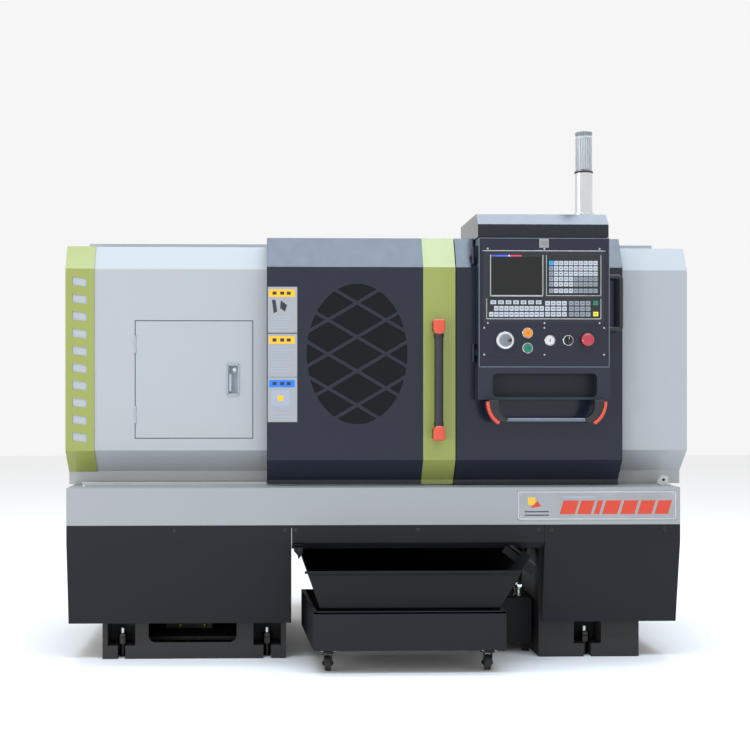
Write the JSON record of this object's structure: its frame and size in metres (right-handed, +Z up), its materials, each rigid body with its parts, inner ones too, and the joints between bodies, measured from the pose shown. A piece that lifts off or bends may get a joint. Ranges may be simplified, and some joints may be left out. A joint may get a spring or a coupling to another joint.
{
  "type": "cnc turning lathe",
  "caption": "Enclosed flat-bed turning lathe with a sliding door, hanging operator console, pedestals and a roll-out chip cart.",
  "frame": {"origin": "on the floor under the middle of the machine's box", "axes": "+X towards the tailstock end, +Y to the back, +Z up"},
  "size_m": [2.224, 1.3, 1.803],
  "materials": {
    "cast_dark": "textured dark paint",
    "pale_paint": "satin paint",
    "tray_paint": "satin paint",
    "slate_paint": "satin paint",
    "lime_paint": "satin paint",
    "black_paint": "satin paint",
    "machined_steel": "ground steel",
    "cast_green": "painted casting",
    "chrome_steel": "polished",
    "aluminium": "satin",
    "motor_paint": "satin paint",
    "belt_rubber": "matt",
    "wheel_rubber": "matt",
    "black_plastic": "matt",
    "nylon": "matt",
    "clear_lens": "clear",
    "dark_glass": "tinted",
    "display": "gloss",
    "keypad_film": "satin film",
    "red_plastic": "gloss",
    "green_plastic": "gloss",
    "yellow_plastic": "gloss",
    "reservoir_plastic": "translucent"
  },
  "bodies": {
    "machine": {"left_pedestal": "cast_dark", "right_pedestal": "cast_dark", "foundation_bolts": "machined_steel", "chip_tray": "tray_paint", "skirt_panels": "cast_dark", "bed": "cast_green", "headstock": "cast_green", "drive_belts": "belt_rubber", "main_motor": "motor_paint", "headstock_cover": "pale_paint", "corner_trim": "lime_paint", "front_panel": "slate_paint", "tailstock_cover": "pale_paint", "rear_cover": "pale_paint", "door_rails": "machined_steel", "electrical_cabinet": "pale_paint", "header_box": "slate_paint", "lamp_tube": "chrome_steel", "lamp_lens": "clear_lens", "z_servo_motor": "black_paint", "lubricator": "reservoir_plastic", "chip_hopper": "black_paint", "coolant_tank": "black_paint"},
    "sliding_door": {"door_panel": "slate_paint", "door_glass": "dark_glass", "door_edge_strip": "lime_paint", "door_handle": "black_plastic", "door_slides": "nylon"},
    "access_door": {"access_door": "pale_paint", "access_door_pull": "black_plastic"},
    "cabinet_door": {"cabinet_door": "pale_paint"},
    "console": {"console_housing": "slate_paint", "console_pocket": "black_paint", "console_face": "slate_paint", "console_handles": "black_plastic", "screen": "display", "keypads": "keypad_film"},
    "handwheel": {"handwheel": "aluminium"},
    "green_button": {"green_button": "green_plastic"},
    "yellow_button": {"yellow_button": "yellow_plastic"},
    "emergency_stop": {"emergency_stop": "red_plastic"},
    "key_switch": {"key_switch": "chrome_steel"},
    "selector_knob": {"selector_knob": "black_plastic"},
    "spindle": {"spindle": "machined_steel", "chuck": "machined_steel", "chuck_jaws": "machined_steel"},
    "motor_rotor": {"motor_pulley": "machined_steel"},
    "z_screw": {"z_screw": "chrome_steel"},
    "carriage": {"saddle": "cast_green"},
    "cross_slide": {"cross_slide": "machined_steel"},
    "turret": {"turret_head": "machined_steel"},
    "tailstock": {"tailstock_body": "cast_green"},
    "quill": {"quill": "machined_steel"},
    "tailstock_handwheel": {"tailstock_handwheel": "chrome_steel"},
    "cart": {"cart_body": "cast_dark"},
    "caster_fork_left": {"caster_fork_left": "chrome_steel"},
    "caster_fork_right": {"caster_fork_right": "chrome_steel"},
    "caster_wheel_left": {"caster_wheel_left": "wheel_rubber"},
    "caster_wheel_right": {"caster_wheel_right": "wheel_rubber"},
    "rear_wheels": {"rear_wheels": "wheel_rubber"}
  },
  "joints": [
    {"name": "door_slide", "type": "slide", "parent": "machine", "child": "sliding_door", "axis": [-1, 0, 0], "range_m": [0, 0.585]},
    {"name": "access_door_hinge", "type": "hinge", "parent": "machine", "child": "access_door", "pos_m": [-0.87475, -0.35, 0.95], "axis": [0, 0, 1], "range_deg": [-110, 0]},
    {"name": "cabinet_door_hinge", "type": "hinge", "parent": "machine", "child": "cabinet_door", "pos_m": [-0.564, 0.645, 1], "axis": [0, 0, 1], "range_deg": [0, 110]},
    {"name": "console_swivel", "type": "hinge", "parent": "machine", "child": "console", "pos_m": [0.279, -0.407, 1.2], "axis": [0, 0, 1], "range_deg": [-45, 0]},
    {"name": "handwheel_spin", "type": "hinge", "parent": "console", "child": "handwheel", "pos_m": [0.3736, -0.471, 1.0795], "axis": [0, 1, 0], "continuous": true},
    {"name": "green_button_press", "type": "slide", "parent": "console", "child": "green_button", "axis": [0, 1, 0], "range_m": [0, 0.004], "stiffness_N_per_m": 400},
    {"name": "yellow_button_press", "type": "slide", "parent": "console", "child": "yellow_button", "axis": [0, 1, 0], "range_m": [0, 0.004], "stiffness_N_per_m": 400},
    {"name": "emergency_stop_press", "type": "slide", "parent": "console", "child": "emergency_stop", "axis": [0, 1, 0], "range_m": [0, 0.006], "stiffness_N_per_m": 600},
    {"name": "key_switch_turn", "type": "hinge", "parent": "console", "child": "key_switch", "pos_m": [0.5252, -0.471, 1.08], "axis": [0, 1, 0], "range_deg": [0, 90]},
    {"name": "selector_turn", "type": "hinge", "parent": "console", "child": "selector_knob", "pos_m": [0.5867, -0.471, 1.08], "axis": [0, 1, 0], "range_deg": [-45, 45]},
    {"name": "spindle_spin", "type": "hinge", "parent": "machine", "child": "spindle", "pos_m": [-0.7, -0.04, 1.034], "axis": [1, 0, 0], "continuous": true},
    {"name": "motor_spin", "type": "hinge", "parent": "machine", "child": "motor_rotor", "pos_m": [-0.9, -0.04, 0.174], "axis": [1, 0, 0], "continuous": true},
    {"name": "z_screw_spin", "type": "hinge", "parent": "machine", "child": "z_screw", "pos_m": [0, -0.24, 0.79], "axis": [1, 0, 0], "range_deg": [-9000, 7200]},
    {"name": "carriage_slide", "type": "slide", "parent": "machine", "child": "carriage", "axis": [1, 0, 0], "range_m": [-0.25, 0.2]},
    {"name": "cross_slide_travel", "type": "slide", "parent": "carriage", "child": "cross_slide", "axis": [0, 1, 0], "range_m": [-0.06, 0.1]},
    {"name": "turret_index", "type": "hinge", "parent": "cross_slide", "child": "turret", "pos_m": [0.175, -0.17, 1], "axis": [0, 0, 1], "continuous": true},
    {"name": "tailstock_slide", "type": "slide", "parent": "machine", "child": "tailstock", "axis": [1, 0, 0], "range_m": [-0.2, 0.12]},
    {"name": "tailstock_wheel_spin", "type": "hinge", "parent": "tailstock", "child": "tailstock_handwheel", "pos_m": [0.78, -0.04, 1.034], "axis": [1, 0, 0], "range_deg": [0, 5760]},
    {"name": "quill_slide", "type": "slide", "parent": "tailstock", "child": "quill", "axis": [-1, 0, 0], "range_m": [0, 0.08]},
    {"name": "cart_roll", "type": "slide", "parent": "machine", "child": "cart", "axis": [0, -1, 0], "range_m": [0, 0.65]},
    {"name": "caster_swivel_left", "type": "hinge", "parent": "cart", "child": "caster_fork_left", "pos_m": [-0.226, -0.595, 0.07], "axis": [0, 0, 1], "continuous": true},
    {"name": "caster_swivel_right", "type": "hinge", "parent": "cart", "child": "caster_fork_right", "pos_m": [0.295, -0.595, 0.07], "axis": [0, 0, 1], "continuous": true},
    {"name": "caster_roll_left", "type": "hinge", "parent": "caster_fork_left", "child": "caster_wheel_left", "pos_m": [-0.226, -0.579, 0.025], "axis": [1, 0, 0], "continuous": true},
    {"name": "caster_roll_right", "type": "hinge", "parent": "caster_fork_right", "child": "caster_wheel_right", "pos_m": [0.295, -0.579, 0.025], "axis": [1, 0, 0], "continuous": true},
    {"name": "rear_wheels_roll", "type": "hinge", "parent": "cart", "child": "rear_wheels", "pos_m": [0.0345, -0.262, 0.038], "axis": [1, 0, 0], "continuous": true}
  ],
  "couplings": [
    {"joint": "motor_spin", "follows": "spindle_spin", "ratio": 1.5484},
    {"joint": "z_screw_spin", "follows": "carriage_slide", "rad_per_m": 628.32},
    {"joint": "quill_slide", "follows": "tailstock_wheel_spin", "m_per_rad": 0.00079577}
  ]
}
